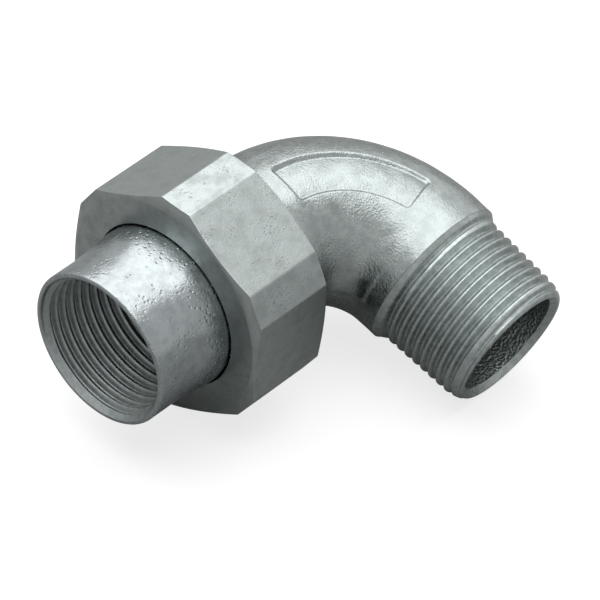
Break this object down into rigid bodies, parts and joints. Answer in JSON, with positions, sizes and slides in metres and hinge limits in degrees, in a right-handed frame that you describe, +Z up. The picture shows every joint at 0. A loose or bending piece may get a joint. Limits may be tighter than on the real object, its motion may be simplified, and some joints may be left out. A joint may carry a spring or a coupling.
{
  "type": "conduit union elbow",
  "caption": "Ninety degree conduit union: cast elbow with a male taper thread, union nut and hub with a female taper thread.",
  "frame": {"origin": "middle of the nut's bottom narrow flat, which rests on the ground", "axes": "+Z up, -X out of the female hub along the union's axis, the male leg towards -Y and dropping to the ground"},
  "size_m": [0.0735, 0.0641, 0.044],
  "materials": {
    "plated_casting": "bright zinc plate over a fine cast surface, threads cut and plated",
    "plated_nut": "satin zinc plate over machined flats",
    "plated_hub": "glossy zinc plate with a light orange peel and fine turning lines"
  },
  "bodies": {
    "elbow": {"elbow_body": "plated_casting"},
    "hub": {"female_hub": "plated_hub"},
    "nut": {"union_nut": "plated_nut"}
  },
  "joints": [
    {"name": "hub_slide", "type": "slide", "parent": "elbow", "child": "hub", "axis": [-1, 0, 0], "range_m": [0, 0.0081]},
    {"name": "nut_turn", "type": "hinge", "parent": "hub", "child": "nut", "pos_m": [0, 0, 0.022], "axis": [-1, 0, 0], "range_deg": [0, 1260]}
  ],
  "couplings": [
    {"joint": "hub_slide", "follows": "nut_turn", "m_per_rad": 0.00036749}
  ]
}
